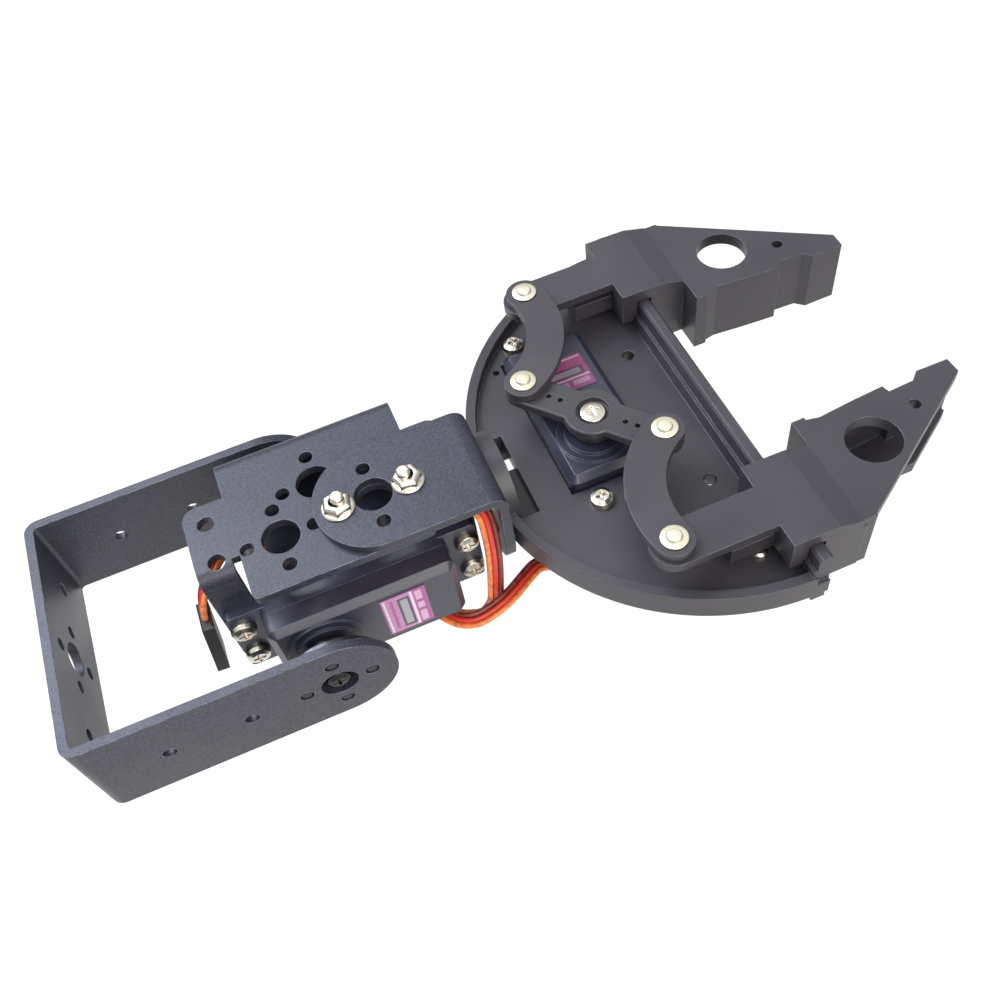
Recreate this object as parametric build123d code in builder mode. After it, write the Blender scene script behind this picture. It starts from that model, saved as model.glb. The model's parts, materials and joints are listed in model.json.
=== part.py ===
from build123d import *
from math import cos, radians, sin, sqrt, tan
import os

os.makedirs("parts", exist_ok=True)

# Sheet brackets
sheet = 2.0
strip_width = 25.0
strip_bend = 3.0
group_radius = 7.0
group_bore = 4.0
group_hole = 1.5
u_width = 59.0
wrist_x = 52.6
web_hole_step = 18.73
ear_holes = (16.7, 33.9)

# Plate over the wrist servo, its places along x from the wrist's axis
plate_low = 19.67
plate_left = wrist_x - 8.8
plate_right = wrist_x + 30.4
plate_near = -17.8
wall_gap = 0.1
wall_bottom = -12.5
plate_bend = 3.5
wing_left = wrist_x - 17.9
wing_right = wrist_x + 38.3
wing_far = 9.0
wing_slot = 1.8
slot_end = -6.4
tab_front = -9.5
tab_bottom = -9.6
wing_holes = (-5.9, 4.0)
wing_hole_x = (wrist_x - 13.4, wrist_x + 33.7)
wing_hole_radius = 1.8
group_a = (wrist_x, -5.8)
group_b = (wrist_x + 10, 4.2)
group_c = (wrist_x + 20, -5.8)

# Gripper placement
grip_x = wrist_x + 69.6
grip_y = -2.0
grip_z = 6.9

# Servo, used twice
case_length = 40.7
case_width = 19.7
case_height = 37.0
case_corner = 1.9
case_edge = 0.7
cover_edge = 1.5
shaft_to_end = 10.2
flange_length = 54.5
flange_under = 10.2
flange_thick = 2.5
flange_step_x = 49.5
flange_step_y = 10.0
flange_hole = 2.0
cover_depth = 5.7
base_depth = 7.0
boss_radius = 6.5
boss_height = 1.2
collar_radius = 8.2
collar_height = 0.5
spline_radius = 2.95
spline_top = 5.9
wrist_face = 19.7
wall_far = case_height - wrist_face + wall_gap + sheet
gripper_face = 3.7

# Fits
run = 0.05
slip = 0.1
snug = 0.02

# Fasteners
screw_radius = 1.45
head_radius = 2.75
head_height = 1.9
nut_flats = 5.5
nut_height = 2.4

# Gripper base and rail
floor_thick = 4.0
rim_centre = 25.0
rim_outer = 51.7
rim_inner = 49.5
rim_top = 2.5
back_face = -25.6
lug_thick = 3.8
lug_radius = 11.5
leg_y = -3.8
rail_rear = 24.0
rail_front = 27.0
rail_top = 8.0
rail_half = 51.0
ledge_rear = 23.2
ledge_top = 4.0

# Jaws, horn and links
pivot_y = 37.2
horn_angle = 40.0
horn_arm = 16.4
horn_low = 9.3
horn_top = 11.3
link_low = horn_top + slip
link_thick = 2.0
link_half = 4.2
link_rise = 4.8
rivet_radius = 1.9
rivet_neck = 1.5
horn_play = 1.6

near = Plane(origin=(wrist_x, 0, 0), x_dir=(1, 0, 0), z_dir=(0, -1, 0))
far = Plane(origin=(wrist_x, 0, 0), x_dir=(1, 0, 0), z_dir=(0, 1, 0))
deck = Plane(origin=(grip_x, grip_y, grip_z), x_dir=(1, 0, 0), z_dir=(0, 0, 1))
side = Plane(origin=(grip_x, grip_y, grip_z), x_dir=(1, 0, 0), z_dir=(0, -1, 0))
forward = Plane(origin=(grip_x, grip_y, grip_z), x_dir=(0, 1, 0), z_dir=(1, 0, 0))
centre = Plane(origin=(0, grip_y, 0), x_dir=(1, 0, 0), z_dir=(0, -1, 0))


def turned(place, points):
    with BuildPart() as body:
        with BuildSketch(Plane(place.origin, x_dir=place.x_dir, z_dir=-place.y_dir)):
            with BuildLine():
                Polyline(*points, close=True)
            make_face()
        revolve(axis=Axis(place.origin, place.z_dir))
    return body.part


def pan_screw(place, radius, head, height, length, recess=True):
    with BuildPart() as screw:
        add(turned(place, [
            (0, height), (head * 0.55, height), (head * 0.88, height * 0.72), (head, height * 0.3),
            (head, 0), (radius, 0), (radius, 0.4 - length), (radius - 0.4, -length), (0, -length)]))
        if recess:
            with BuildSketch(place.offset(height * 0.45)):
                Rectangle(head * 1.0, head * 0.22)
                Rectangle(head * 0.22, head * 1.0)
            extrude(amount=height, mode=Mode.SUBTRACT)
    return screw.part


def hex_nut(place, flats, height, bore):
    with BuildPart() as nut:
        with BuildSketch(place):
            RegularPolygon(flats / 2, 6, major_radius=False)
            Circle(bore, mode=Mode.SUBTRACT)
        extrude(amount=height)
    return nut.part


def wheel(place, radius, teeth, low, high, bore):
    depth = 0.5
    with BuildPart() as gear:
        with BuildSketch(place.offset(low)):
            Circle(radius - depth)
            with PolarLocations(radius - depth, teeth):
                Rectangle(2 * depth, 0.55)
            if bore > 0:
                Circle(bore, mode=Mode.SUBTRACT)
        extrude(amount=high - low)
    return gear.part


def five_holes(radius, bore, hole):
    spots = [(radius, 0), (0, radius), (-radius, 0), (0, -radius)]
    with BuildSketch(Plane.XY) as pattern:
        Circle(bore)
        with Locations(*spots):
            Circle(hole)
    return pattern.sketch


hole_group = five_holes(group_radius, group_bore, group_hole)

u_length = wrist_x + strip_width / 2
with BuildPart() as u_bracket:
    with BuildSketch(Plane.XY.offset(-strip_width / 2)):
        Rectangle(u_length, u_width, align=(Align.MIN, Align.CENTER))
    extrude(amount=strip_width)
    with BuildSketch(Plane.XY.offset(-strip_width / 2)):
        with Locations((sheet, 0)):
            Rectangle(u_length, u_width - 2 * sheet, align=(Align.MIN, Align.CENTER))
    extrude(amount=strip_width, mode=Mode.SUBTRACT)
    fillet(u_bracket.edges().filter_by(Axis.Z).group_by(Axis.X)[1], strip_bend - sheet)
    fillet(u_bracket.edges().filter_by(Axis.Z).group_by(Axis.X)[0], strip_bend)
    with BuildSketch(Plane.XZ.offset(-u_width)):
        with Locations((wrist_x / 2, 0)):
            Rectangle(wrist_x, strip_width)
        with Locations((wrist_x, 0)):
            Circle(strip_width / 2)
    extrude(amount=2 * u_width, mode=Mode.INTERSECT)
    with BuildSketch(Plane.XZ.offset(-u_width)):
        with Locations((wrist_x, 0)):
            add(hole_group)
        with Locations(*[(x, 0) for x in ear_holes]):
            Circle(group_hole)
    extrude(amount=2 * u_width, mode=Mode.SUBTRACT)
    with BuildSketch(Plane.YZ.offset(-1)):
        add(hole_group)
        with Locations((-web_hole_step, 0), (web_hole_step, 0)):
            Circle(group_hole)
    extrude(amount=sheet + 2, mode=Mode.SUBTRACT)
u_bracket.part.label = "u_bracket"
export_step(u_bracket.part, "parts/u_bracket.step")

ear_inner = u_width / 2 - sheet
disc_thick = 2.5
disc_radius = 10.25
disc_back = ear_inner - disc_thick
hub_low = wrist_face + boss_height + 0.3
spline_end = wrist_face + spline_top
with BuildPart() as wrist_disc:
    with BuildSketch(near.offset(disc_back)):
        Circle(disc_radius)
    extrude(amount=disc_thick)
    chamfer(wrist_disc.edges().filter_by(GeomType.CIRCLE).group_by(Axis.Y)[-1], 0.3)
    with BuildSketch(near.offset(hub_low)):
        Circle(4.4)
    extrude(amount=disc_back - hub_low)
    with BuildSketch(near.offset(hub_low)):
        Circle(spline_radius + snug)
    extrude(amount=spline_end + 0.2 - hub_low, mode=Mode.SUBTRACT)
    with BuildSketch(near.offset(hub_low)):
        Circle(screw_radius + run)
        with PolarLocations(group_radius, 4):
            Circle(screw_radius + run)
    extrude(amount=ear_inner - hub_low, mode=Mode.SUBTRACT)
wrist_disc.part.label = "wrist_disc"
export_step(wrist_disc.part, "parts/wrist_disc.step")

with BuildPart() as disc_screws:
    for x, z in ((group_radius, 0), (0, group_radius), (-group_radius, 0), (0, -group_radius)):
        seat = Plane(origin=(wrist_x + x, -disc_back, z), x_dir=(1, 0, 0), z_dir=(0, 1, 0))
        add(pan_screw(seat, screw_radius, 2.5, 1.6, disc_thick + sheet - 0.2))
disc_screws.part.label = "disc_screws"
export_step(disc_screws.part, "parts/disc_screws.step")

horn_screw_bite = 6.1
horn_screw_length = ear_inner - spline_end + horn_screw_bite
with BuildPart() as wrist_horn_screw:
    add(pan_screw(near.offset(ear_inner), screw_radius, head_radius, head_height, horn_screw_length))
wrist_horn_screw.part.label = "wrist_horn_screw"
export_step(wrist_horn_screw.part, "parts/wrist_horn_screw.step")

# Far pivot: screw through the plate's far wall, bearing in the far ear
bearing_flange = 0.7
bearing_width = 4.0
bearing_outer = 4.0
bearing_split = 2.6
inner_start = ear_inner - bearing_flange
with BuildPart() as pivot_bearing_outer:
    add(turned(far, [
        (bearing_split + run, inner_start), (4.75, inner_start), (4.75, ear_inner),
        (bearing_outer - snug, ear_inner), (bearing_outer - snug, inner_start + bearing_width),
        (bearing_split + run, inner_start + bearing_width)]))
pivot_bearing_outer.part.label = "pivot_bearing_outer"
export_step(pivot_bearing_outer.part, "parts/pivot_bearing_outer.step")

with BuildPart() as pivot_bearing_inner:
    add(turned(far, [
        (screw_radius + snug, inner_start), (bearing_split, inner_start),
        (bearing_split, inner_start + bearing_width), (screw_radius + snug, inner_start + bearing_width)]))
pivot_bearing_inner.part.label = "pivot_bearing_inner"
export_step(pivot_bearing_inner.part, "parts/pivot_bearing_inner.step")

wall_inner = wall_far - sheet
pivot_end = inner_start + bearing_width
sink_radius = 2.8
with BuildPart() as pivot_screw:
    add(turned(far, [
        (0, wall_inner), (sink_radius, wall_inner), (screw_radius, wall_inner + sink_radius - screw_radius),
        (screw_radius, pivot_end + 2.9), (screw_radius - 0.4, pivot_end + 3.3), (0, pivot_end + 3.3)]))
pivot_screw.part.label = "pivot_screw"
export_step(pivot_screw.part, "parts/pivot_screw.step")

with BuildPart() as pivot_nuts:
    add(hex_nut(far.offset(wall_far), nut_flats, nut_height, screw_radius + snug))
    add(hex_nut(far.offset(pivot_end), nut_flats, nut_height, screw_radius + snug))
pivot_nuts.part.label = "pivot_nuts"
export_step(pivot_nuts.part, "parts/pivot_nuts.step")

with BuildPart() as pivot_spacer:
    with BuildSketch(far.offset(wall_far + nut_height)):
        Circle(2.4)
        Circle(screw_radius + run, mode=Mode.SUBTRACT)
    extrude(amount=inner_start - wall_far - nut_height)
pivot_spacer.part.label = "pivot_spacer"
export_step(pivot_spacer.part, "parts/pivot_spacer.step")

# Plate bracket: middle strip folded down at the far side, wings folded down at the near side
plate_top = plate_low + sheet
wing_inner = wrist_x - shaft_to_end - 0.3
wing_outer = wrist_x - shaft_to_end + case_length + 0.3
with BuildPart() as multi_bracket:
    with BuildSketch(Plane.XY.offset(plate_low)):
        with Locations((plate_left, plate_near)):
            Rectangle(plate_right - plate_left, wall_far - plate_near, align=(Align.MIN, Align.MIN))
        with Locations((wing_left, tab_front)):
            Rectangle(wing_right - wing_left, wing_far - tab_front, align=(Align.MIN, Align.MIN))
    extrude(amount=sheet)
    with BuildSketch(Plane.XY.offset(wall_bottom)):
        with Locations((plate_left, wall_far)):
            Rectangle(plate_right - plate_left, sheet, align=(Align.MIN, Align.MAX))
    extrude(amount=plate_top - wall_bottom)
    with BuildSketch(Plane.XY.offset(tab_bottom)):
        with Locations((wing_left, tab_front), (wing_outer, tab_front)):
            Rectangle(wing_inner - wing_left, sheet, align=(Align.MIN, Align.MIN))
    extrude(amount=plate_top - tab_bottom)
    with BuildSketch(Plane.XY.offset(plate_low)):
        with Locations((wing_inner, slot_end)):
            Rectangle(wing_slot, 20, align=(Align.MIN, Align.MAX))
        with Locations((wing_outer, slot_end)):
            Rectangle(wing_slot, 20, align=(Align.MAX, Align.MAX))
    extrude(amount=sheet, mode=Mode.SUBTRACT)
    lengthwise = multi_bracket.edges().filter_by(Axis.X)
    fillet(lengthwise.filter_by(lambda e: abs(e.center().Z - plate_low) < 0.01
        and abs(e.center().Y - wall_inner) < 0.01), plate_bend - sheet)
    lengthwise = multi_bracket.edges().filter_by(Axis.X)
    fillet(lengthwise.filter_by(lambda e: abs(e.center().Z - plate_top) < 0.01
        and abs(e.center().Y - wall_far) < 0.01), plate_bend)
    lengthwise = multi_bracket.edges().filter_by(Axis.X)
    fillet(lengthwise.filter_by(lambda e: abs(e.center().Z - plate_low) < 0.01
        and abs(e.center().Y - tab_front - sheet) < 0.01), strip_bend - sheet)
    lengthwise = multi_bracket.edges().filter_by(Axis.X)
    fillet(lengthwise.filter_by(lambda e: abs(e.center().Z - plate_top) < 0.01
        and abs(e.center().Y - tab_front) < 0.01), strip_bend)
    upright = multi_bracket.edges().filter_by(Axis.Z)
    fillet(upright.filter_by(lambda e: abs(e.center().Y - plate_near) < 0.01), 1.5)
    upright = multi_bracket.edges().filter_by(Axis.Z)
    fillet(upright.filter_by(lambda e: abs(e.center().Y - wing_far) < 0.01
        and (abs(e.center().X - wing_left) < 0.01 or abs(e.center().X - wing_right) < 0.01)), 3.0)
    crosswise = multi_bracket.edges().filter_by(Axis.Y)
    fillet(crosswise.filter_by(lambda e: abs(e.center().Z - wall_bottom) < 0.01), 3.0)
    with BuildSketch(Plane.XY.offset(plate_low)):
        with Locations(group_a, group_b, group_c):
            add(hole_group)
        with Locations(*[(x, y) for x in wing_hole_x for y in wing_holes]):
            Circle(wing_hole_radius)
    extrude(amount=sheet, mode=Mode.SUBTRACT)
    for x in (wrist_x - shaft_to_end + case_length / 2 - flange_step_x / 2,
              wrist_x - shaft_to_end + case_length / 2 + flange_step_x / 2):
        with BuildSketch(Plane(origin=(x, tab_front, 0), x_dir=(1, 0, 0), z_dir=(0, 1, 0))):
            with Locations((0, flange_step_y / 2), (0, -flange_step_y / 2)):
                Circle(screw_radius + run)
        extrude(amount=sheet, mode=Mode.SUBTRACT)
    add(turned(far, [
        (0, wall_inner - 1), (sink_radius + snug, wall_inner - 1), (sink_radius + snug, wall_inner),
        (screw_radius + snug, wall_inner + sink_radius - screw_radius),
        (screw_radius + snug, wall_far + 1), (0, wall_far + 1)]), mode=Mode.SUBTRACT)
multi_bracket.part.label = "multi_bracket"
export_step(multi_bracket.part, "parts/multi_bracket.step")

leg_outer = grip_x + back_face
leg_centre = grip_y + leg_y
l_top = plate_top + sheet
with BuildPart() as l_bracket:
    with BuildSketch(Plane.XY.offset(plate_top)):
        with Locations((group_c[0], group_c[1])):
            Circle(strip_width / 2)
        with Locations((group_c[0], group_c[1])):
            Rectangle(leg_outer - group_c[0], strip_width, align=(Align.MIN, Align.CENTER))
    extrude(amount=sheet)
    with BuildSketch(Plane.YZ.offset(leg_outer - sheet)):
        with Locations((leg_centre, grip_z)):
            Circle(strip_width / 2)
            Rectangle(strip_width, l_top - grip_z, align=(Align.CENTER, Align.MIN))
    extrude(amount=sheet)
    fillet(l_bracket.edges().filter_by(Axis.Y).filter_by(lambda e: abs(e.center().Z - plate_top) < 0.01
        and abs(e.center().X - leg_outer + sheet) < 0.01), plate_bend - sheet)
    fillet(l_bracket.edges().filter_by(Axis.Y).filter_by(lambda e: abs(e.center().Z - l_top) < 0.01
        and abs(e.center().X - leg_outer) < 0.01), plate_bend)
    with BuildSketch(Plane.XY.offset(plate_top)):
        with Locations(group_c):
            add(hole_group)
    extrude(amount=sheet, mode=Mode.SUBTRACT)
    with BuildSketch(Plane.YZ.offset(leg_outer - sheet)):
        with Locations((leg_centre, grip_z)):
            add(hole_group)
    extrude(amount=sheet, mode=Mode.SUBTRACT)
l_bracket.part.label = "l_bracket"
export_step(l_bracket.part, "parts/l_bracket.step")

# M3 screws of the brackets: two on the plate with nuts, two threaded into the gripper's lug
plate_seats = [Plane(origin=(group_c[0] + s * group_radius, group_c[1], plate_low), x_dir=(1, 0, 0),
    z_dir=(0, 0, -1)) for s in (-1, 1)]
lug_seats = [Plane(origin=(leg_outer - sheet, leg_centre, grip_z + s * group_radius), x_dir=(0, 1, 0),
    z_dir=(-1, 0, 0)) for s in (-1, 1)]
with BuildPart() as bracket_screws:
    for seat in plate_seats:
        add(pan_screw(seat, screw_radius, head_radius, head_height, 8.0))
    for seat in lug_seats:
        add(pan_screw(seat, screw_radius, head_radius, head_height, sheet + lug_thick - 0.2))
bracket_screws.part.label = "bracket_screws"
export_step(bracket_screws.part, "parts/bracket_screws.step")

with BuildPart() as bracket_nuts:
    for seat in plate_seats:
        add(hex_nut(seat.offset(-2 * sheet - nut_height), nut_flats, nut_height, screw_radius + snug))
bracket_nuts.part.label = "bracket_nuts"
export_step(bracket_nuts.part, "parts/bracket_nuts.step")

# Servo, built once for the wrist and once for the gripper
servo_tops = {
    "wrist": near.offset(wrist_face),
    "gripper": Plane(origin=(grip_x, grip_y, grip_z + gripper_face), x_dir=(0, 1, 0), z_dir=(0, 0, 1)),
}
case_mid = case_length / 2 - shaft_to_end
post_x = case_length / 2 - 2.0
post_y = case_width / 2 - 2.05
pocket_length = case_length - 8.0
pocket_width = case_width - 3.3
gear_floor = 10.0
motor_x = 15.1
gear_x = 8.4
motor_radius = 9.2
motor_top = 12.2
motor_bottom = 29.8
case_screw = 1.0
case_screw_length = 32.0
screw_places = []
nut_places = []
case_screw_places = []
label_places = []
for name, top in servo_tops.items():
    along = Axis(top.origin, top.z_dir)
    with BuildPart() as servo_cover:
        with BuildSketch(top.offset(-cover_depth)):
            with Locations((case_mid, 0)):
                RectangleRounded(case_length, case_width, case_corner)
        extrude(amount=cover_depth)
        chamfer(servo_cover.faces().sort_by(along)[-1].edges(), cover_edge)
        with BuildSketch(top):
            Circle(collar_radius)
        extrude(amount=collar_height)
        with BuildSketch(top):
            Circle(boss_radius)
        extrude(amount=boss_height)
        with BuildSketch(top.offset(-cover_depth)):
            with Locations((case_mid, 0)):
                Rectangle(pocket_length, pocket_width)
        extrude(amount=cover_depth - 1.5, mode=Mode.SUBTRACT)
        with BuildSketch(top.offset(-cover_depth)):
            Circle(5.0)
        extrude(amount=cover_depth + 0.6, mode=Mode.SUBTRACT)
        with BuildSketch(top):
            Circle(3.3)
        extrude(amount=boss_height, mode=Mode.SUBTRACT)
        with BuildSketch(top.offset(-cover_depth)):
            with Locations((case_mid, 0)):
                with GridLocations(2 * post_x, 2 * post_y, 2, 2):
                    Circle(case_screw + snug)
        extrude(amount=3.0, mode=Mode.SUBTRACT)
    servo_cover.part.label = name + "_servo_cover"
    export_step(servo_cover.part, "parts/" + name + "_servo_cover.step")

    with BuildPart() as servo_case:
        with BuildSketch(top.offset(base_depth - case_height)):
            with Locations((case_mid, 0)):
                RectangleRounded(case_length, case_width, case_corner)
        extrude(amount=case_height - base_depth - cover_depth)
        with BuildSketch(top.offset(-flange_under)):
            with Locations((case_mid, 0)):
                RectangleRounded(flange_length, case_width, 1.0)
                with GridLocations(flange_step_x, flange_step_y, 2, 2):
                    Circle(flange_hole, mode=Mode.SUBTRACT)
        extrude(amount=flange_thick)
        with BuildSketch(top.offset(-gear_floor)):
            with Locations((case_mid, 0)):
                Rectangle(pocket_length, pocket_width)
        extrude(amount=gear_floor, mode=Mode.SUBTRACT)
        with BuildSketch(top.offset(base_depth - case_height)):
            with Locations((case_mid, 0)):
                Rectangle(pocket_length, pocket_width)
        extrude(amount=case_height - base_depth - gear_floor - 2.0, mode=Mode.SUBTRACT)
        with BuildSketch(top.offset(-gear_floor - 3.0)):
            Circle(2.2)
            with Locations((motor_x, 0)):
                Circle(3.1)
        extrude(amount=4.0, mode=Mode.SUBTRACT)
        with BuildSketch(top.offset(-gear_floor - 0.1)):
            with Locations((gear_x, 0)):
                Circle(1.2)
        extrude(amount=0.5)
        with BuildSketch(top.offset(base_depth - case_height)):
            with Locations((case_mid, 0)):
                with GridLocations(2 * post_x, 2 * post_y, 2, 2):
                    Circle(case_screw + snug)
        extrude(amount=case_height, mode=Mode.SUBTRACT)
    servo_case.part.label = name + "_servo_case"
    export_step(servo_case.part, "parts/" + name + "_servo_case.step")

    with BuildPart() as servo_base:
        with BuildSketch(top.offset(-case_height)):
            with Locations((case_mid, 0)):
                RectangleRounded(case_length, case_width, case_corner)
        extrude(amount=base_depth)
        chamfer(servo_base.faces().sort_by(along)[0].edges(), case_edge)
        with BuildSketch(top.offset(1.5 - case_height)):
            with Locations((case_mid, 0)):
                Rectangle(pocket_length, pocket_width)
        extrude(amount=base_depth, mode=Mode.SUBTRACT)
        with BuildSketch(top.offset(-case_height)):
            with Locations((case_mid, 0)):
                with GridLocations(2 * post_x, 2 * post_y, 2, 2):
                    Circle(1.6)
        extrude(amount=1.4, mode=Mode.SUBTRACT)
        with BuildSketch(top.offset(-case_height)):
            with Locations((case_mid, 0)):
                with GridLocations(2 * post_x, 2 * post_y, 2, 2):
                    Circle(case_screw + snug)
        extrude(amount=base_depth, mode=Mode.SUBTRACT)
    servo_base.part.label = name + "_servo_base"
    export_step(servo_base.part, "parts/" + name + "_servo_base.step")

    with BuildPart() as motor:
        with BuildSketch(top.offset(-motor_bottom)):
            with Locations((motor_x, 0)):
                Circle(motor_radius)
                Rectangle(2 * motor_radius, 15.6, mode=Mode.INTERSECT)
        extrude(amount=motor_bottom - motor_top)
        with BuildSketch(top.offset(-motor_top)):
            with Locations((motor_x, 0)):
                Circle(3.0)
        extrude(amount=2.0)
        spindle = Plane(top.from_local_coords(Vector(motor_x, 0, 0)), x_dir=top.x_dir, z_dir=top.z_dir)
        add(wheel(spindle, 1.9, 10, -motor_top + 1.9, -3.4, 0))
    motor.part.label = name + "_motor"
    export_step(motor.part, "parts/" + name + "_motor.step")

    layshaft = Plane(top.from_local_coords(Vector(gear_x, 0, 0)), x_dir=top.x_dir, z_dir=top.z_dir)
    with BuildPart() as first_gear:
        add(wheel(layshaft, 4.6, 26, -5.2, -3.6, 0.85))
        add(wheel(layshaft, 2.2, 11, -7.0, -5.2, 0.85))
    first_gear.part.label = name + "_first_gear"
    export_step(first_gear.part, "parts/" + name + "_first_gear.step")

    with BuildPart() as second_gear:
        add(wheel(top, 6.0, 32, -6.8, -5.4, 2.05))
        add(wheel(top, 3.6, 18, -5.4, -1.9, 2.05))
    second_gear.part.label = name + "_second_gear"
    export_step(second_gear.part, "parts/" + name + "_second_gear.step")

    with BuildPart() as third_gear:
        add(wheel(layshaft, 4.6, 26, -3.3, -1.9, 0))
        add(wheel(layshaft, 2.2, 11, 0.4 - gear_floor, -7.2, 0))
        with BuildSketch(layshaft.offset(-7.2)):
            Circle(0.8)
        extrude(amount=3.9)
    third_gear.part.label = name + "_third_gear"
    export_step(third_gear.part, "parts/" + name + "_third_gear.step")

    with BuildPart() as output_shaft:
        add(turned(top, [
            (0, -9.6), (2.0, -9.6), (2.0, -1.7), (spline_radius, -1.7), (spline_radius, spline_top - 0.3),
            (spline_radius - 0.3, spline_top), (0, spline_top)]))
        add(wheel(top, 6.0, 32, -9.6, -7.2, 0))
        with BuildSketch(top.offset(spline_top)):
            Circle(screw_radius + snug)
        extrude(amount=-7.0, mode=Mode.SUBTRACT)
        with BuildSketch(top.offset(-9.6)):
            Circle(1.5)
        extrude(amount=1.6, mode=Mode.SUBTRACT)
    output_shaft.part.label = name + "_output_shaft"
    export_step(output_shaft.part, "parts/" + name + "_output_shaft.step")

    with BuildPart() as shaft_bearing:
        with BuildSketch(top.offset(-1.5)):
            Circle(5.0 - snug)
            Circle(spline_radius + run, mode=Mode.SUBTRACT)
        extrude(amount=2.1)
    shaft_bearing.part.label = name + "_shaft_bearing"
    export_step(shaft_bearing.part, "parts/" + name + "_shaft_bearing.step")

    with BuildPart() as sensor:
        with BuildSketch(top.offset(-18.0)):
            Circle(4.5)
        extrude(amount=6.0)
        with BuildSketch(top.offset(-12.0)):
            Circle(1.5 - run)
        extrude(amount=3.8)
    sensor.part.label = name + "_sensor"
    export_step(sensor.part, "parts/" + name + "_sensor.step")

    with BuildPart() as board:
        with BuildSketch(top.offset(-motor_bottom - 1.2)):
            with Locations((case_mid, 0)):
                Rectangle(pocket_length - 1.0, pocket_width - 1.0)
        extrude(amount=1.2)
        with BuildSketch(top.offset(-motor_bottom - 2.6)):
            with Locations((case_mid - 6, 2)):
                Rectangle(8, 6)
            with Locations((case_mid + 6, -2)):
                Rectangle(6, 5)
        extrude(amount=1.4)
    board.part.label = name + "_board"
    export_step(board.part, "parts/" + name + "_board.step")

    for dx in (case_mid - flange_step_x / 2, case_mid + flange_step_x / 2):
        for dy in (-flange_step_y / 2, flange_step_y / 2):
            if name == "wrist":
                seat_depth = flange_thick - flange_under
                nut_depth = seat_depth - flange_thick - sheet - nut_height
            else:
                seat_depth = -gripper_face
                nut_depth = seat_depth - floor_thick - flange_thick - nut_height
            screw_places.append(Plane(top.from_local_coords(Vector(dx, dy, seat_depth)),
                x_dir=top.x_dir, z_dir=top.z_dir))
            nut_places.append(Plane(top.from_local_coords(Vector(dx, dy, nut_depth)),
                x_dir=top.x_dir, z_dir=top.z_dir))
    for dx in (case_mid - post_x, case_mid + post_x):
        for dy in (-post_y, post_y):
            case_screw_places.append(Plane(top.from_local_coords(Vector(dx, dy, 1.4 - case_height)),
                x_dir=top.x_dir, z_dir=-top.z_dir))
    label_places.append(top)

flange_screw_length = 10.0
with BuildPart() as flange_screws:
    for seat in screw_places:
        add(pan_screw(seat, screw_radius, head_radius, head_height, flange_screw_length))
flange_screws.part.label = "flange_screws"
export_step(flange_screws.part, "parts/flange_screws.step")

with BuildPart() as flange_nuts:
    for seat in nut_places:
        add(hex_nut(seat, nut_flats, nut_height, screw_radius + snug))
flange_nuts.part.label = "flange_nuts"
export_step(flange_nuts.part, "parts/flange_nuts.step")

with BuildPart() as case_screws:
    for seat in case_screw_places:
        add(pan_screw(seat, case_screw, 1.55, 1.2, case_screw_length))
case_screws.part.label = "case_screws"
export_step(case_screws.part, "parts/case_screws.step")

label_length = 10.3
label_width = 14.4
label_thick = 0.15
with BuildPart() as servo_labels:
    for top in label_places:
        with BuildSketch(top):
            with Locations((18.0, 0.3)):
                Rectangle(label_length, label_width)
        extrude(amount=label_thick)
servo_labels.part.label = "servo_labels"
export_step(servo_labels.part, "parts/servo_labels.step")

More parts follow.
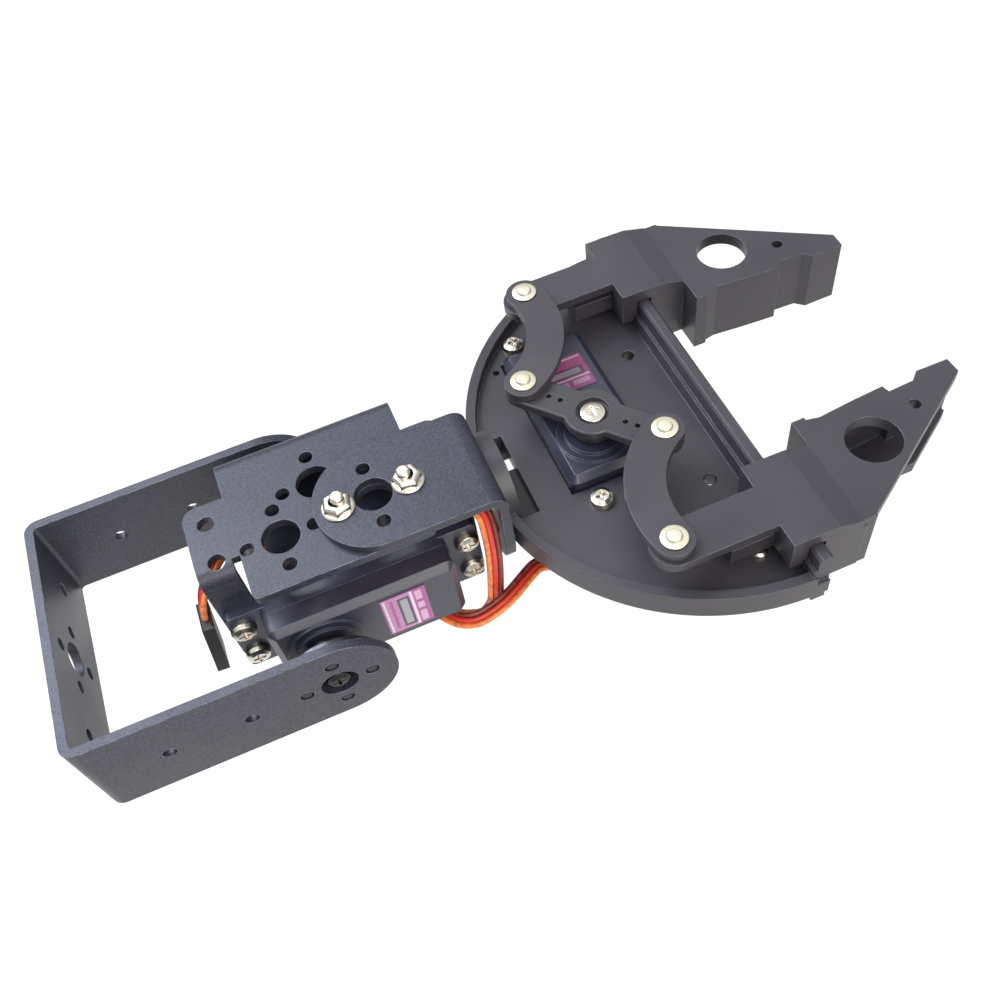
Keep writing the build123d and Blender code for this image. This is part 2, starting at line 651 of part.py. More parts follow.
# Gripper base: half-round plate with a rim, front rail, rear lug and servo window
with BuildPart() as gripper_base:
    with BuildSketch(deck.offset(-floor_thick)):
        with Locations((rim_centre, 0)):
            Circle(rim_outer)
        with Locations((rail_front, 0)):
            Rectangle(2 * rim_outer, 3 * rim_outer, align=(Align.MIN, Align.CENTER), mode=Mode.SUBTRACT)
        with Locations((back_face, 0)):
            Rectangle(rim_outer, 3 * rim_outer, align=(Align.MAX, Align.CENTER), mode=Mode.SUBTRACT)
    extrude(amount=floor_thick)
    with BuildSketch(deck):
        with Locations((rim_centre, 0)):
            Circle(rim_outer)
            Circle(rim_inner, mode=Mode.SUBTRACT)
        with Locations((rail_rear, 0)):
            Rectangle(2 * rim_outer, 3 * rim_outer, align=(Align.MIN, Align.CENTER), mode=Mode.SUBTRACT)
        with Locations((back_face, 0)):
            Rectangle(rim_outer, 3 * rim_outer, align=(Align.MAX, Align.CENTER), mode=Mode.SUBTRACT)
    extrude(amount=rim_top)
    with BuildSketch(side.offset(-rail_half)):
        with BuildLine():
            Polyline((ledge_rear, -floor_thick), (rail_front, -floor_thick), (rail_front, rail_top - 0.6),
                (rail_front - 0.6, rail_top), (rail_rear + 0.6, rail_top), (rail_rear, rail_top - 0.6),
                (rail_rear, ledge_top), (ledge_rear, ledge_top), close=True)
        make_face()
    extrude(amount=2 * rail_half)
    with BuildSketch(deck.offset(-floor_thick - 3.0)):
        with Locations((rail_front, rail_half), (rail_front, 2.2 - rail_half)):
            Rectangle(rail_front - rail_rear, 2.2, align=(Align.MAX, Align.MAX))
    extrude(amount=3.0)
    with BuildSketch(forward.offset(back_face)):
        Circle(lug_radius)
    extrude(amount=lug_thick)
    with BuildSketch(deck.offset(-floor_thick)):
        with Locations((0, case_length / 2 - shaft_to_end)):
            Rectangle(case_width + 0.5, case_length + 0.6)
        with Locations((back_face + lug_thick, 0)):
            Rectangle(3.9, 22.6, align=(Align.MIN, Align.CENTER))
        with Locations((17.8, -19.9), (17.8, 19.9)):
            Circle(1.5)
        with Locations((-11.8, 29.2)):
            Circle(0.8)
        with Locations((0, case_length / 2 - shaft_to_end)):
            with GridLocations(flange_step_y, flange_step_x, 2, 2):
                Circle(screw_radius + run)
    extrude(amount=floor_thick, mode=Mode.SUBTRACT)
    with BuildSketch(deck.offset(-floor_thick - 3.0)):
        with Locations((17.8, -40.3), (17.8, 40.3)):
            Circle(2.6)
    extrude(amount=3.0)
    with BuildSketch(deck.offset(-floor_thick - 3.0)):
        with Locations((17.8, -40.3), (17.8, 40.3)):
            Circle(1.0 + snug)
    extrude(amount=floor_thick + 3.0, mode=Mode.SUBTRACT)
    with BuildSketch(forward.offset(back_face)):
        with Locations((leg_y, -group_radius), (leg_y, group_radius)):
            Circle(screw_radius + run)
    extrude(amount=lug_thick, mode=Mode.SUBTRACT)
gripper_base.part.label = "gripper_base"
export_step(gripper_base.part, "parts/gripper_base.step")

with BuildPart() as base_screws:
    for y in (-40.3, 40.3):
        seat = Plane(deck.from_local_coords(Vector(17.8, y, 0)), x_dir=(1, 0, 0), z_dir=(0, 0, 1))
        add(pan_screw(seat, 1.0, 1.75, 1.3, 6.5))
base_screws.part.label = "base_screws"
export_step(base_screws.part, "parts/base_screws.step")

# Jaw: sliding carriage on the rail, arm to the link, channel-shaped finger
arm_half = 5.0
arm_low = 9.1
arm_top = 11.3
carriage_rear = 20.0
jaw_in = 26.9
jaw_out = 47.5
jaw_bottom = -6.5
finger_top = 9.6
finger_rear = 35.6
finger_wall = 3.0
rail_gap = 0.3
finger_inner = [(35.6, 20.4), (41.4, 21.7), (49.7, 20.9), (57.1, 20.4), (57.6, 22.2), (63.5, 21.9),
    (65.5, 20.0), (73.0, 20.1)]
finger_tip = (73.1, 23.9)
skirt_end = 38.0
with BuildPart() as left_jaw:
    with BuildSketch(deck.offset(arm_low)):
        with Locations((0, pivot_y)):
            Circle(arm_half)
            Rectangle(carriage_rear + 0.5, 2 * arm_half, align=(Align.MIN, Align.CENTER))
    extrude(amount=arm_top - arm_low)
    with BuildSketch(deck.offset(6.8)):
        with Locations((3.5, pivot_y - 0.5)):
            Rectangle(carriage_rear - 3.0, 4.0, align=(Align.MIN, Align.CENTER))
    extrude(amount=arm_low - 6.8)
    with BuildSketch(deck.offset(2.4)):
        with Locations((10.6, pivot_y)):
            Rectangle(carriage_rear - 10.1, 8.0, align=(Align.MIN, Align.CENTER))
    extrude(amount=6.8 - 2.4)
    with BuildSketch(side.offset(-jaw_out)):
        with BuildLine():
            Polyline((carriage_rear, rim_top + 0.4), (ledge_rear - rail_gap, rim_top + 0.4),
                (ledge_rear - rail_gap, ledge_top + rail_gap), (rail_rear - rail_gap, ledge_top + rail_gap),
                (rail_rear - rail_gap, rail_top + rail_gap), (rail_front + rail_gap, rail_top + rail_gap),
                (rail_front + rail_gap, jaw_bottom), (rail_front + rail_gap + finger_wall, jaw_bottom),
                (rail_front + rail_gap + finger_wall, 7.4), (finger_rear, finger_top - finger_wall),
                (finger_rear, finger_top), (rail_front + 3.0, arm_top - 0.1), (rail_front - 1.0, arm_top),
                (carriage_rear, arm_top), close=True)
        make_face()
    extrude(amount=jaw_out - jaw_in)
    with BuildSketch(side.offset(-jaw_out + 3.0)):
        with BuildLine():
            Polyline((rail_rear + 0.3, jaw_bottom), (rail_front + rail_gap + 1, jaw_bottom),
                (rail_front + rail_gap + 1, -floor_thick - rail_gap), (rail_rear + 0.3, -floor_thick - rail_gap),
                close=True)
        make_face()
    extrude(amount=jaw_out - jaw_in - 4.0)
    with BuildSketch(deck.offset(jaw_bottom)):
        with Locations((rail_front + rail_gap + 1, jaw_in), (rail_front + rail_gap + 1, jaw_out - 2.5)):
            Rectangle(finger_rear - rail_front - rail_gap, 2.5, align=(Align.MIN, Align.MIN))
    extrude(amount=14.0)
    with BuildSketch(deck.offset(finger_top - finger_wall)):
        with BuildLine():
            Polyline(*finger_inner, finger_tip, (skirt_end, jaw_out - 0.2), (finger_rear, jaw_out - 0.2), close=True)
        make_face()
    extrude(amount=finger_wall)
    with BuildSketch(deck.offset(jaw_bottom)):
        with BuildLine():
            Polyline(*finger_inner, finger_tip, (59.5, 33.0), (finger_rear, 33.0), close=True)
        make_face()
    extrude(amount=finger_wall)
    with BuildSketch(deck.offset(jaw_bottom)):
        with BuildLine():
            Polyline(*finger_inner, *[(x, y + finger_wall) for x, y in reversed(finger_inner)], close=True)
        make_face()
        with Locations((finger_rear, finger_inner[0][1])):
            Rectangle(finger_wall, jaw_out - 0.2 - finger_inner[0][1], align=(Align.MIN, Align.MIN))
    extrude(amount=finger_top - jaw_bottom)
    with BuildSketch(deck.offset(finger_top - finger_wall - 1)):
        with Locations((47.9, 31.5)):
            Circle(5.85)
        with Locations((60.3, 27.4)):
            Circle(1.25)
    extrude(amount=finger_wall + 2, mode=Mode.SUBTRACT)
    with BuildSketch(deck.offset(arm_low - 0.5)):
        with Locations((0, pivot_y)):
            Circle(rivet_neck + snug)
    extrude(amount=arm_top - arm_low + 1, mode=Mode.SUBTRACT)
left_jaw.part.label = "left_jaw"
export_step(left_jaw.part, "parts/left_jaw.step")

with BuildPart() as right_jaw:
    mirror(left_jaw.part, about=centre)
right_jaw.part.label = "right_jaw"
export_step(right_jaw.part, "parts/right_jaw.step")

horn_x = -horn_arm * sin(radians(horn_angle))
horn_y = horn_arm * cos(radians(horn_angle))
screw_sink = 1.2
with BuildPart() as gripper_horn:
    with BuildSketch(deck.offset(horn_low)):
        Circle(6.3)
        SlotCenterToCenter(2 * horn_arm, 8.2, rotation=90 + horn_angle)
    extrude(amount=horn_top - horn_low)
    chamfer(gripper_horn.faces().sort_by(Axis.Z)[-1].edges(), 0.3)
    with BuildSketch(deck.offset(gripper_face + boss_height + 0.7)):
        Circle(4.4)
    extrude(amount=horn_low - gripper_face - boss_height - 0.7)
    with BuildSketch(deck.offset(gripper_face + boss_height)):
        Circle(spline_radius + snug)
    extrude(amount=spline_top - boss_height, mode=Mode.SUBTRACT)
    with BuildSketch(deck.offset(horn_low)):
        Circle(screw_radius + run)
        with Locations((horn_x, horn_y), (-horn_x, -horn_y)):
            Circle(rivet_neck + horn_play)
        with Locations(*[(s * r * horn_x / horn_arm, s * r * horn_y / horn_arm) for s in (1, -1) for r in (7.6, 10.4)]):
            Circle(0.6)
    extrude(amount=horn_top - horn_low, mode=Mode.SUBTRACT)
    with BuildSketch(deck.offset(horn_top)):
        Circle(3.6)
    extrude(amount=-screw_sink, mode=Mode.SUBTRACT)
gripper_horn.part.label = "gripper_horn"
export_step(gripper_horn.part, "parts/gripper_horn.step")

with BuildPart() as horn_screw:
    add(pan_screw(deck.offset(horn_top - screw_sink), screw_radius, 3.0, screw_sink - slip, 7.0))
horn_screw.part.label = "horn_screw"
export_step(horn_screw.part, "parts/horn_screw.step")

# Links: curved bars, each the other one turned half a turn about the horn's axis
link_top = link_low + link_thick
chord_x = horn_x / 2
chord_y = (horn_y + pivot_y) / 2
chord = sqrt(horn_x ** 2 + (pivot_y - horn_y) ** 2)
crown = (chord_x + link_rise * (pivot_y - horn_y) / chord, chord_y + link_rise * horn_x / chord)
for name, turn in (("left", 1), ("right", -1)):
    bar = Plane(deck.origin, x_dir=(turn, 0, 0), z_dir=(0, 0, 1))
    with BuildPart() as link:
        with BuildSketch(bar.offset(link_low)):
            with BuildLine():
                ThreePointArc((horn_x, horn_y), crown, (0, pivot_y))
            trace(line_width=2 * link_half)
            with Locations((horn_x, horn_y), (0, pivot_y)):
                Circle(link_half)
            with Locations((horn_x, horn_y)):
                Circle(rivet_neck + snug, mode=Mode.SUBTRACT)
            with Locations((0, pivot_y)):
                Circle(rivet_radius + run, mode=Mode.SUBTRACT)
        extrude(amount=link_thick)
    link.part.label = name + "_link"
    export_step(link.part, "parts/" + name + "_link.step")

    jaw_pin = Plane(bar.from_local_coords(Vector(0, pivot_y, 0)), x_dir=bar.x_dir, z_dir=(0, 0, 1))
    with BuildPart() as jaw_rivet:
        add(turned(jaw_pin, [
            (0, arm_low - 0.7), (2.4, arm_low - 0.7), (2.6, arm_low), (rivet_neck, arm_low),
            (rivet_neck, arm_top), (rivet_radius, arm_top), (rivet_radius, link_top + slip),
            (3.4, link_top + slip), (3.3, link_top + 0.5), (2.6, link_top + 1.0), (1.4, link_top + 1.25),
            (0, link_top + 1.3)]))
    jaw_rivet.part.label = name + "_jaw_rivet"
    export_step(jaw_rivet.part, "parts/" + name + "_jaw_rivet.step")

    horn_pin = Plane(bar.from_local_coords(Vector(horn_x, horn_y, 0)), x_dir=bar.x_dir, z_dir=(0, 0, 1))
    with BuildPart() as link_rivet:
        add(turned(horn_pin, [
            (0, horn_low - 0.9), (3.8, horn_low - 0.9), (3.8, horn_low - 0.2), (rivet_neck, horn_low - 0.2),
            (rivet_neck, link_top), (3.4, link_top), (3.3, link_top + 0.4), (2.6, link_top + 1.0),
            (1.4, link_top + 1.25), (0, link_top + 1.3)]))
    link_rivet.part.label = name + "_link_rivet"
    export_step(link_rivet.part, "parts/" + name + "_link_rivet.step")

# Flat lead of the gripper servo: its tube has the ribbon's section area
lead_width = 3.8
lead_thick = 1.3
lead_radius = sqrt(lead_width * lead_thick / 3.1416)
grommet_out = 2.0
lead_low = 33.4
servo_end = grip_y - shaft_to_end
lead_height = grip_z + gripper_face - lead_low
lead_points = [
    (grip_x, servo_end - grommet_out, lead_height), (grip_x, -19.6, lead_height), (117.4, -23.4, -22.2),
    (111.2, -21.6, -20.8), (107.4, -16.2, -19.2), (103.2, -12.2, -18.0), (97.0, -13.8, -17.4),
    (90.6, -16.8, -17.0), (84.4, -18.2, -17.0), (78.6, -13.0, -17.4), (75.4, -13.2, -14.4),
    (77.4, -15.4, -11.6), (83.0, -17.4, -11.6), (87.8, -18.8, -11.2), (90.6, -17.2, -9.4),
    (91.6, -16.3, -3.6), (92.2, -16.0, 3.6), (92.2, -15.6, 10.4), (88.0, -15.4, 14.8),
    (81.6, -14.2, 15.4), (74.4, -11.6, 14.8), (66.6, -8.2, 14.0), (58.0, -4.6, 13.6),
    (49.4, -2.4, 13.8), (40.8, -2.3, 14.7), (35.0, -4.6, 14.6), (32.0, -6.4, 11.0), (31.6, -6.9, 7.6)]
plug_length = 14.0
plug_width = 7.8
plug_thick = 2.6
lead_runs = [(Vector(*b) - Vector(*a)) for a, b in zip(lead_points, lead_points[1:])]
lead_radii = []
for before, after in zip(lead_runs, lead_runs[1:]):
    half_turn = radians(before.get_angle(after) / 2)
    lead_radii.append(0.45 * min(before.length, after.length) / tan(half_turn))
with BuildPart() as gripper_lead:
    with BuildLine() as lead_route:
        FilletPolyline(*lead_points, radius=lead_radii)
    with BuildSketch(Plane(origin=lead_points[0], z_dir=lead_runs[0])):
        Circle(lead_radius)
    sweep(path=lead_route.wires()[0])
gripper_lead.part.label = "gripper_lead"
export_step(gripper_lead.part, "parts/gripper_lead.step")
lead_length = lead_route.wires()[0].length
print("lead radii", [round(r, 1) for r in lead_radii])
print("lead runs", [round(r.length, 1) for r in lead_runs])
print("lead length", round(lead_length, 1), "volume", round(gripper_lead.part.volume, 1),
    "section times length", round(3.1416 * lead_radius ** 2 * lead_length, 1))

with BuildPart() as gripper_plug:
    with BuildSketch(Plane(origin=lead_points[-1], x_dir=(0, 1, 0), z_dir=lead_runs[-1])):
        Rectangle(plug_width, plug_thick)
    extrude(amount=plug_length)
    chamfer(gripper_plug.faces().sort_by(Axis.Z)[-1].edges(), 0.4)
    with BuildSketch(Plane(gripper_plug.faces().sort_by(Axis.Z)[0])):
        with GridLocations(2.54, 1, 3, 1):
            Rectangle(1.1, 1.1)
    extrude(amount=-8.0, mode=Mode.SUBTRACT)
gripper_plug.part.label = "gripper_plug"
export_step(gripper_plug.part, "parts/gripper_plug.step")

with BuildPart() as gripper_grommet:
    with BuildSketch(Plane(origin=(grip_x, servo_end, lead_height), x_dir=(1, 0, 0), z_dir=(0, -1, 0))):
        RectangleRounded(5.6, 2.8, 0.8)
    extrude(amount=grommet_out, taper=8)
gripper_grommet.part.label = "gripper_grommet"
export_step(gripper_grommet.part, "parts/gripper_grommet.step")
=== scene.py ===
import json
import math

import bpy
from mathutils import Matrix, Vector

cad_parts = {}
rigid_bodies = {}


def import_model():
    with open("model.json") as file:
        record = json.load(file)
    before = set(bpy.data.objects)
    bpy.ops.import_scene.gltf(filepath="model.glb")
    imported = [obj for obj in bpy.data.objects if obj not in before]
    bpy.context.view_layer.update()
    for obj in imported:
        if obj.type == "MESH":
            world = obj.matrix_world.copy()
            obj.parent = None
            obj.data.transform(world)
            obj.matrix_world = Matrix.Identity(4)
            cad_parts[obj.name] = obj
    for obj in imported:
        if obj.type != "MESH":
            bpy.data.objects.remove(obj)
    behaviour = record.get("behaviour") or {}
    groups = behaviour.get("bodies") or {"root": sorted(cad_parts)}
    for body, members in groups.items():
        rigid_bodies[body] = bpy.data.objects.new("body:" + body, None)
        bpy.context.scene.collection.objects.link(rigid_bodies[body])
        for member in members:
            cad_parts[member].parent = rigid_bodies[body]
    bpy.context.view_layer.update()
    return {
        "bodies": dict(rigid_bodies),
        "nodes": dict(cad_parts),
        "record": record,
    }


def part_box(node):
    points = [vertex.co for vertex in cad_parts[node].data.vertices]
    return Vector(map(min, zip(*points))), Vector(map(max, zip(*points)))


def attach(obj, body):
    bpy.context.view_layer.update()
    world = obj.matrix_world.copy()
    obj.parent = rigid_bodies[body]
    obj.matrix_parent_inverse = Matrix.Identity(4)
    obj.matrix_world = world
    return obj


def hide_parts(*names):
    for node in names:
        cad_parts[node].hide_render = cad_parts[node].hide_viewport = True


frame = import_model()
nodes = frame["nodes"]
scene = bpy.context.scene
print("frame loaded:", len(nodes), "nodes")

# Camera, fitted to the photograph's edges and holes
cameraSettings = {
    "place": (0.06799, -0.13520, 0.19240),
    "right": (0.9218, -0.3717, -0.1098),
    "down": (-0.3651, -0.7373, -0.5684),
    "lens": 38.1,
    "sensor": 36.0,
    "nearest": 0.01,
    "farthest": 20,
}
cameraData = bpy.data.cameras.new("viewCamera")
cameraData.lens = cameraSettings["lens"]
cameraData.sensor_width = cameraSettings["sensor"]
cameraData.clip_start = cameraSettings["nearest"]
cameraData.clip_end = cameraSettings["farthest"]
camera = bpy.data.objects.new("viewCamera", cameraData)
scene.collection.objects.link(camera)
right = Vector(cameraSettings["right"]).normalized()
up = -Vector(cameraSettings["down"])
up = (up - right * up.dot(right)).normalized()
turn = Matrix((right, up, right.cross(up))).transposed()
camera.matrix_world = Matrix.Translation(cameraSettings["place"]) @ turn.to_4x4()
scene.camera = camera
print("camera set")


def linear(red, green, blue):
    # A colour as a screen shows it, 0 to 255, in the linear values that shaders take
    def one(v):
        v = v / 255
        return v / 12.92 if v <= 0.04045 else ((v + 0.055) / 1.055) ** 2.4
    return (one(red), one(green), one(blue), 1.0)


def deselectAll():
    for thing in scene.objects:
        thing.select_set(False)


def makeActive(thing):
    thing.select_set(True)
    bpy.context.view_layer.objects.active = thing


def applyModifier(thing, name, kind, **settings):
    # A modifier with its settings, made part of the mesh at once
    modifier = thing.modifiers.new(name, kind)
    for key, value in settings.items():
        setattr(modifier, key, value)
    bpy.ops.object.modifier_apply(modifier=name)


# The gripper servo's lead: three wires side by side; its points are in millimetres
leadSettings = {
    "width": 0.0038,
    "wireRadius": 0.00064,
    "step": 0.00125,
    "sides": 12,
    "length": 0.1930,
    "exit": (0.1222, -0.0142, -0.0228),
    "perSpan": 12,
    "points": [
        (122.2, -14.2, -22.8), (122.2, -20.2, -22.8), (120.4, -22.2, -22.6), (116.2, -21.0, -22.0),
        (111.6, -17.2, -20.6), (107.2, -12.9, -17.6), (102.7, -12.0, -15.0), (98.9, -14.2, -14.5),
        (95.1, -16.6, -14.4), (91.3, -18.5, -14.4), (87.5, -19.6, -14.4), (83.8, -20.0, -14.5),
        (80.4, -18.2, -14.6), (77.6, -14.0, -14.8), (76.6, -10.8, -16.8), (78.6, -12.0, -20.0),
        (82.6, -15.2, -20.4), (87.0, -16.6, -20.0), (90.2, -15.8, -17.2), (91.0, -15.0, -12.6),
        (91.6, -15.1, -7.0), (92.0, -15.4, -1.0), (92.2, -15.7, 5.4), (92.2, -15.6, 10.8),
        (92.2, -14.4, 15.4), (90.6, -12.6, 17.2), (86.0, -12.2, 16.6), (79.0, -12.4, 15.4),
        (71.0, -12.4, 14.6), (62.0, -12.4, 14.4), (54.0, -12.2, 14.4), (48.6, -11.4, 14.4),
        (47.6, -6.4, 14.4), (47.8, 0.8, 14.4), (44.4, 3.6, 14.6), (38.6, 1.0, 14.8),
        (35.2, -3.6, 14.2), (32.0, -6.4, 11.0), (31.6, -6.9, 7.6)],
    # Towards the orange wire, at shares of the route from 0 to 1
    "across": [
        (0.0, (1, 0, 0)), (0.04, (0.6, -0.7, 0)), (0.1, (0.5, -0.75, -0.3)), (0.26, (0.41, -0.69, -0.41)),
        (0.295, (-0.69, -0.41, -0.39)), (0.322, (-0.6, 0.75, 0.1)), (0.345, (0.41, 0.69, 0.55)),
        (0.37, (0.2, 0.6, 0.75)), (0.4, (-0.94, 0.2, 0.1)), (0.565, (-1, 0, 0)),
        (0.6, (-0.58, -0.49, -0.43)), (0.64, (0, -0.57, 0.82)), (0.8, (0, -0.3, 0.95)),
        (0.88, (0, 0, 1)), (0.915, (0, -1, 0)), (1.0, (0, -1, 0))],
}


def routeLine(name, s):
    # The points of a smooth spline that follows the route's control points
    data = bpy.data.curves.new(name, "CURVE")
    data.dimensions = "3D"
    data.resolution_u = s["perSpan"]
    spline = data.splines.new("NURBS")
    spline.points.add(len(s["points"]) - 1)
    for spot, (x, y, z) in zip(spline.points, s["points"]):
        spot.co = (x / 1000, y / 1000, z / 1000, 1)
    spline.order_u = 3
    spline.use_endpoint_u = True
    holder = bpy.data.objects.new(name, data)
    scene.collection.objects.link(holder)
    bpy.context.view_layer.update()
    mesh = bpy.data.meshes.new_from_object(holder)
    line = [v.co.copy() for v in mesh.vertices]
    bpy.data.objects.remove(holder)
    bpy.data.meshes.remove(mesh)
    return line


def acrossAt(share, stops):
    # The ribbon's cross direction, eased from one stop to the next
    for (low, a), (high, b) in zip(stops, stops[1:]):
        if share <= high:
            part = (share - low) / (high - low)
            part = part * part * (3 - 2 * part)
            return Vector(a).lerp(Vector(b), part)
    return Vector(stops[-1][1])


def wireRibbon(name, line, s):
    # Three closed round wires side by side, each point marked with its wire and its place along
    lengths = [0.0]
    for a, b in zip(line, line[1:]):
        lengths.append(lengths[-1] + (b - a).length)
    verts, faces, wires, alongs = [], [], [], []
    for wire in (-1, 0, 1):
        first = len(verts)
        for i, spot in enumerate(line):
            ahead = (line[min(i + 1, len(line) - 1)] - line[max(i - 1, 0)]).normalized()
            across = acrossAt(lengths[i] / lengths[-1], s["across"])
            across = (across - ahead * across.dot(ahead)).normalized()
            upward = ahead.cross(across)
            centre = spot + across * (wire * s["step"])
            for k in range(s["sides"]):
                angle = 2 * math.pi * k / s["sides"]
                outward = across * math.cos(angle) + upward * math.sin(angle)
                verts.append(centre + outward * s["wireRadius"])
                wires.append(float(wire + 1))
                alongs.append(lengths[i])
        for i in range(len(line) - 1):
            for k in range(s["sides"]):
                a = first + i * s["sides"] + k
                b = first + i * s["sides"] + (k + 1) % s["sides"]
                faces.append((a, b, b + s["sides"], a + s["sides"]))
        faces.append([first + k for k in reversed(range(s["sides"]))])
        last = first + (len(line) - 1) * s["sides"]
        faces.append([last + k for k in range(s["sides"])])
    mesh = bpy.data.meshes.new(name)
    mesh.from_pydata(verts, [], faces)
    for label, values in (("wire", wires), ("along", alongs)):
        layer = mesh.attributes.new(label, "FLOAT", "POINT")
        layer.data.foreach_set("value", values)
    mesh.polygons.foreach_set("use_smooth", [len(f) == 4 for f in faces])
    mesh.update()
    ribbon = bpy.data.objects.new(name, mesh)
    scene.collection.objects.link(ribbon)
    return ribbon, lengths[-1]


leadLine = routeLine("leadRoute", leadSettings)
leadRibbon, leadLength = wireRibbon("leadRibbon", leadLine, leadSettings)
print("lead ribbon length", round(leadLength, 4))


# Shader effects that several materials share
effectSettings = {
    "edgeRadius": 0.0004, "edgeGain": 5.0, "edgeSamples": 6,
    "breakScale": 420.0, "breakDetail": 4.0, "breakSpan": (0.3, 0.62),
    "grain": 3000.0, "grainDetail": 3.0, "grainRoughness": 0.6,
    "fleckSize": 2600.0, "fleckPick": (0.78, 1.0), "fleckReach": (0.5, 0.1),
    "broadScale": 45.0, "broadDetail": 5.0, "broadSpan": (0.3, 0.7),
}


def socket(tree, way, kind, label, value=None):
    item = tree.interface.new_socket(name=label, in_out=way, socket_type=kind)
    if value is not None:
        item.default_value = value


def effectGroup(label, inputs, outputs):
    tree = bpy.data.node_groups.new(label, "ShaderNodeTree")
    for name, value in inputs:
        socket(tree, "INPUT", "NodeSocketFloat", name, value)
    for name, kind in outputs:
        socket(tree, "OUTPUT", kind, name)
    return tree, tree.nodes.new("NodeGroupInput"), tree.nodes.new("NodeGroupOutput")


def addNode(tree, kind, links=(), **settings):
    # A node with its settings, and its inputs either linked or given a value
    node = tree.nodes.new("ShaderNode" + kind)
    for name, value in settings.items():
        setattr(node, name, value)
    for key, value in dict(links).items():
        if isinstance(value, bpy.types.NodeSocket):
            tree.links.new(value, node.inputs[key])
        else:
            node.inputs[key].default_value = value
    return node


def maths(tree, work, a, b=0.0, clamp=False):
    return addNode(tree, "Math", {0: a, 1: b}, operation=work, use_clamp=clamp).outputs[0]


def blendColours(tree, share, a, b):
    return addNode(tree, "Mix", {0: share, 6: a, 7: b}, data_type="RGBA").outputs[2]


def ramp(tree, value, low, high):
    node = addNode(tree, "MapRange", {"Value": value, "From Min": low, "From Max": high})
    return node.outputs[0]


s = effectSettings
# Edge mask from rounded normals, broken up by noise: it marks edge wear and also paints a highlight along
# the edges
edgeTree, edgeIn, edgeOut = effectGroup(
    "edgeWearAndHighlight",
    [("Radius", s["edgeRadius"]), ("Gain", s["edgeGain"])],
    [("Mask", "NodeSocketFloat"), ("Normal", "NodeSocketVector")])
softNormal = addNode(
    edgeTree, "Bevel", {"Radius": edgeIn.outputs["Radius"]}, samples=s["edgeSamples"]).outputs[0]
flatNormal = addNode(edgeTree, "NewGeometry").outputs["Normal"]
facing = addNode(
    edgeTree, "VectorMath", {0: softNormal, 1: flatNormal}, operation="DOT_PRODUCT").outputs["Value"]
turned = maths(edgeTree, "SUBTRACT", 1.0, facing)
rounded = maths(edgeTree, "MULTIPLY", turned, edgeIn.outputs["Gain"], True)
edgePlace = addNode(edgeTree, "TexCoord").outputs["Object"]
edgeBreaks = addNode(edgeTree, "TexNoise", {
    "Vector": edgePlace, "Scale": s["breakScale"], "Detail": s["breakDetail"]}).outputs[0]
wornLitEdge = maths(edgeTree, "MULTIPLY", rounded, ramp(edgeTree, edgeBreaks, *s["breakSpan"]))
edgeTree.links.new(wornLitEdge, edgeOut.inputs["Mask"])
edgeTree.links.new(softNormal, edgeOut.inputs["Normal"])

grainTree, grainIn, grainOut = effectGroup(
    "surfaceGrain",
    [("Scale", s["grain"]), ("Fleck Size", s["fleckSize"])],
    [("Height", "NodeSocketFloat"), ("Flecks", "NodeSocketFloat"), ("Broad", "NodeSocketFloat")])
grainPlace = addNode(grainTree, "TexCoord").outputs["Object"]
fineNoise = addNode(grainTree, "TexNoise", {
    "Vector": grainPlace, "Scale": grainIn.outputs["Scale"],
    "Detail": s["grainDetail"], "Roughness": s["grainRoughness"]}).outputs[0]
fleckCells = addNode(grainTree, "TexVoronoi", {
    "Vector": grainPlace, "Scale": grainIn.outputs["Fleck Size"]})
fleckPick = addNode(grainTree, "SeparateColor", {0: fleckCells.outputs["Color"]}).outputs[0]
fleckNear = ramp(grainTree, fleckCells.outputs["Distance"], *s["fleckReach"])
flecks = maths(grainTree, "MULTIPLY", ramp(grainTree, fleckPick, *s["fleckPick"]), fleckNear)
broadNoise = addNode(grainTree, "TexNoise", {
    "Vector": grainPlace, "Scale": s["broadScale"], "Detail": s["broadDetail"]}).outputs[0]
grainTree.links.new(fineNoise, grainOut.inputs["Height"])
grainTree.links.new(flecks, grainOut.inputs["Flecks"])
grainTree.links.new(ramp(grainTree, broadNoise, *s["broadSpan"]), grainOut.inputs["Broad"])
print("shader effects made")


def placeGroup(tree, group, **values):
    node = tree.nodes.new("ShaderNodeGroup")
    node.node_tree = group
    for name, value in values.items():
        node.inputs[name.replace("_", " ")].default_value = value
    return node


# What a finish has unless it says otherwise
plainFinish = {
    "metallic": 0.0, "coat": 0.0, "coatRoughness": 0.3,
    "edgeRadius": 0.00035, "edgeGain": 4.0, "edgeShare": 0.5,
    "grain": 3000.0, "fleckSize": 2600.0, "mottleSpan": (0.56, 0.36), "depth": 0.25, "distance": 0.00004,
}


